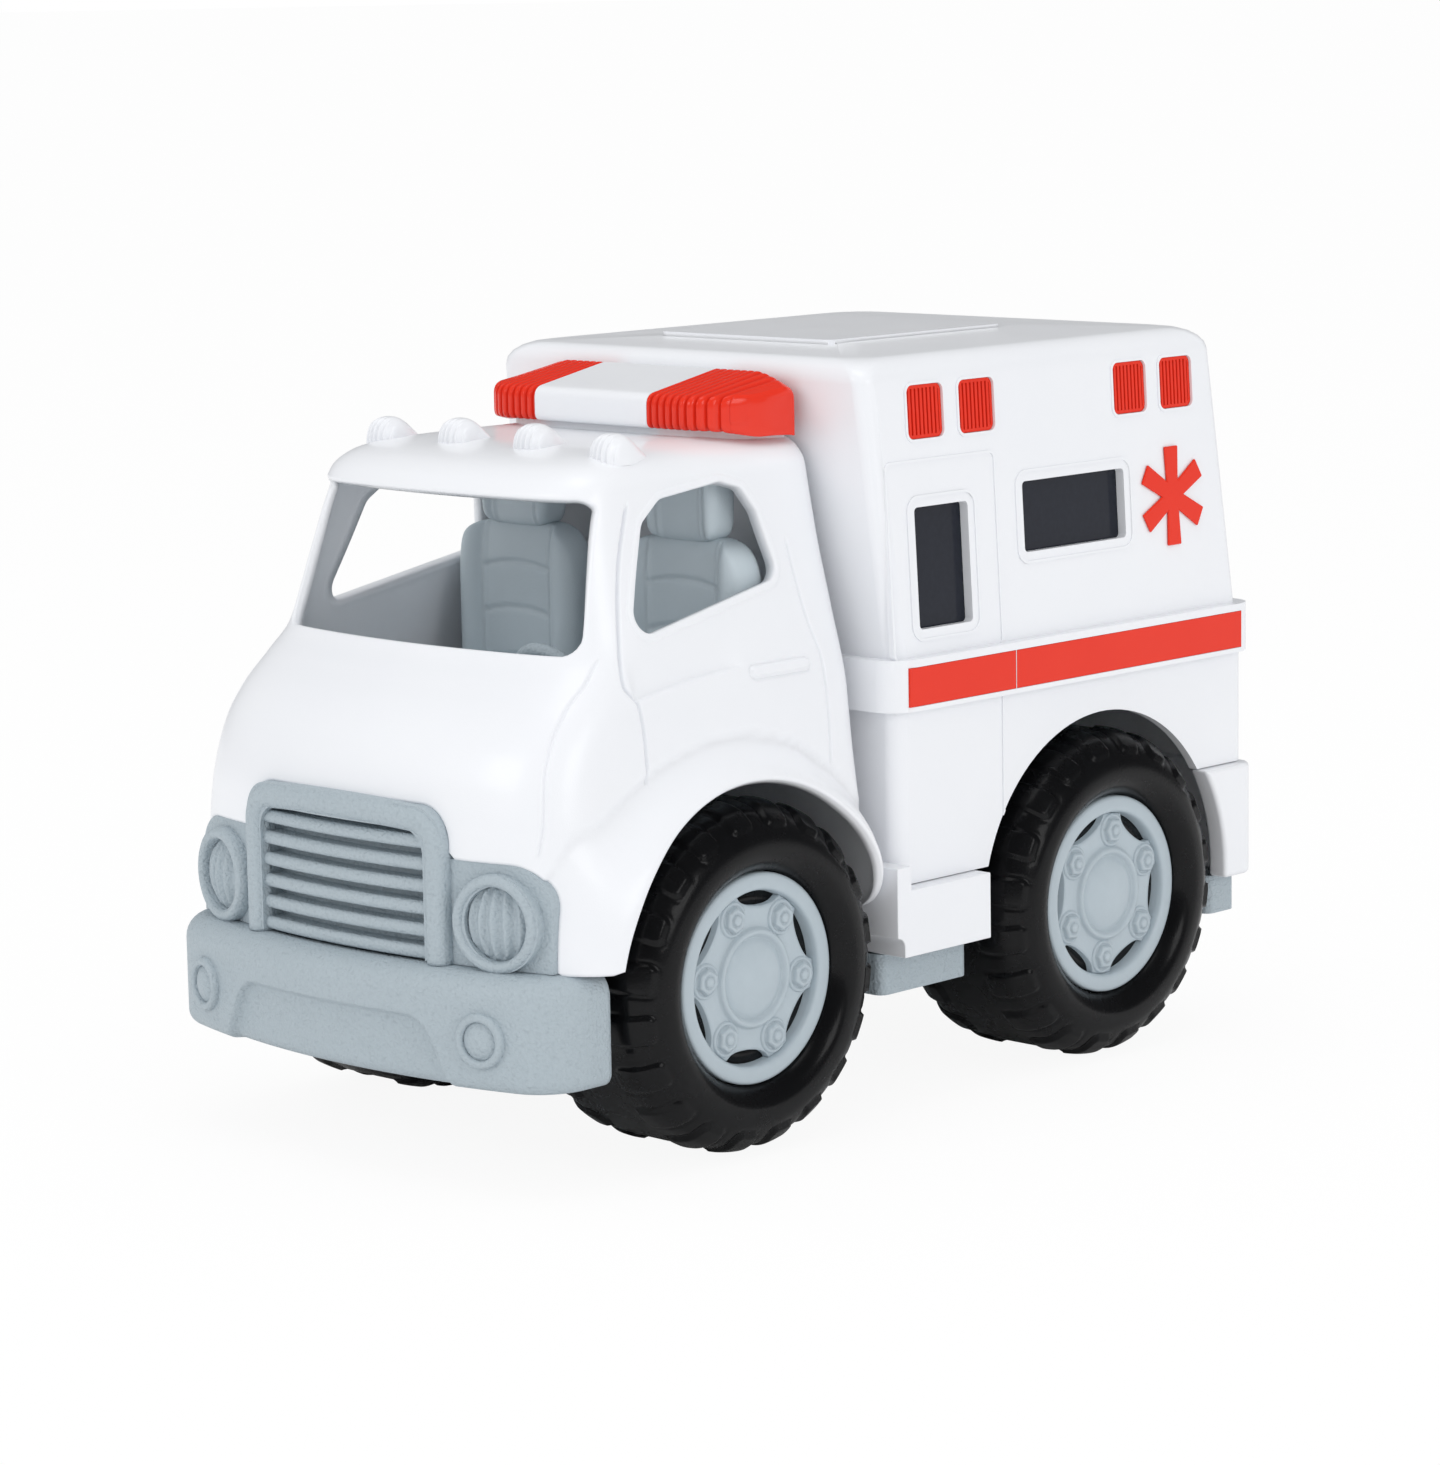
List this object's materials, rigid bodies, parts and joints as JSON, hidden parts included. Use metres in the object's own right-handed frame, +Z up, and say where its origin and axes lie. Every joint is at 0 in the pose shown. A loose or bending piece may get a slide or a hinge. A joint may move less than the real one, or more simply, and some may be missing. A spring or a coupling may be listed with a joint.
{
  "type": "toy ambulance",
  "caption": "Chunky moulded toy ambulance: white cab and patient box on a grey chassis, open windows over bucket seats, ribbed red lights, rolling wheels and hinged rear doors.",
  "frame": {"origin": "on the ground under the middle of the toy", "axes": "+Z up, -Y is the front, +X is the vehicle's left side"},
  "size_m": [0.172, 0.3162, 0.2194],
  "materials": {
    "white_plastic": "smooth satin-gloss moulded plastic",
    "grey_plastic": "pebble-grained moulded plastic",
    "seat_grey": "fine-grained moulded plastic",
    "hub_grey": "satin moulded plastic",
    "red_plastic": "gloss moulded plastic",
    "red_lens": "gloss tinted plastic",
    "tinted_pane": "gloss dark plastic",
    "tyre_black": "satin black moulded plastic",
    "steel": "bright drawn steel"
  },
  "bodies": {
    "vehicle": {"chassis": "grey_plastic", "front_axle_keeper": "grey_plastic", "rear_axle_keeper": "grey_plastic", "chassis_screws": "steel", "front_bumper": "grey_plastic", "grille_panel": "grey_plastic", "headlight_lenses": "grey_plastic", "fog_lamp_lenses": "grey_plastic", "cab_shell": "white_plastic", "cab_interior": "seat_grey", "steering_wheel": "grey_plastic", "light_bar_cover": "white_plastic", "light_bar_left_lens": "red_lens", "light_bar_right_lens": "red_lens", "box_shell": "white_plastic", "patient_floor": "grey_plastic", "left_side_step": "white_plastic", "right_side_step": "white_plastic", "rear_bumper": "white_plastic", "left_door_window": "tinted_pane", "left_side_window": "tinted_pane", "right_door_window": "tinted_pane", "right_side_window": "tinted_pane", "left_marker_lenses": "red_plastic", "right_marker_lenses": "red_plastic", "left_star": "red_plastic", "right_star": "red_plastic", "left_stripe": "red_plastic", "right_stripe": "red_plastic"},
    "front_wheels": {"front_axle": "steel", "front_left_tyre": "tyre_black", "front_left_hub": "hub_grey", "front_right_tyre": "tyre_black", "front_right_hub": "hub_grey"},
    "rear_wheels": {"rear_axle": "steel", "rear_left_tyre": "tyre_black", "rear_left_hub": "hub_grey", "rear_right_tyre": "tyre_black", "rear_right_hub": "hub_grey"},
    "left_door": {"left_rear_door": "white_plastic", "left_rear_window": "tinted_pane"},
    "right_door": {"right_rear_door": "white_plastic", "right_rear_window": "tinted_pane"}
  },
  "joints": [
    {"name": "front_wheel_spin", "type": "hinge", "parent": "vehicle", "child": "front_wheels", "pos_m": [0, -0.0685, 0.05], "axis": [1, 0, 0], "continuous": true},
    {"name": "rear_wheel_spin", "type": "hinge", "parent": "vehicle", "child": "rear_wheels", "pos_m": [0, 0.0865, 0.05], "axis": [1, 0, 0], "continuous": true},
    {"name": "left_door_swing", "type": "hinge", "parent": "vehicle", "child": "left_door", "pos_m": [0.0575, 0.15051, 0.13121], "axis": [0, 0.0978, -0.9952], "range_deg": [0, 100]},
    {"name": "right_door_swing", "type": "hinge", "parent": "vehicle", "child": "right_door", "pos_m": [-0.0575, 0.15051, 0.13121], "axis": [0, -0.0978, 0.9952], "range_deg": [0, 100]}
  ]
}
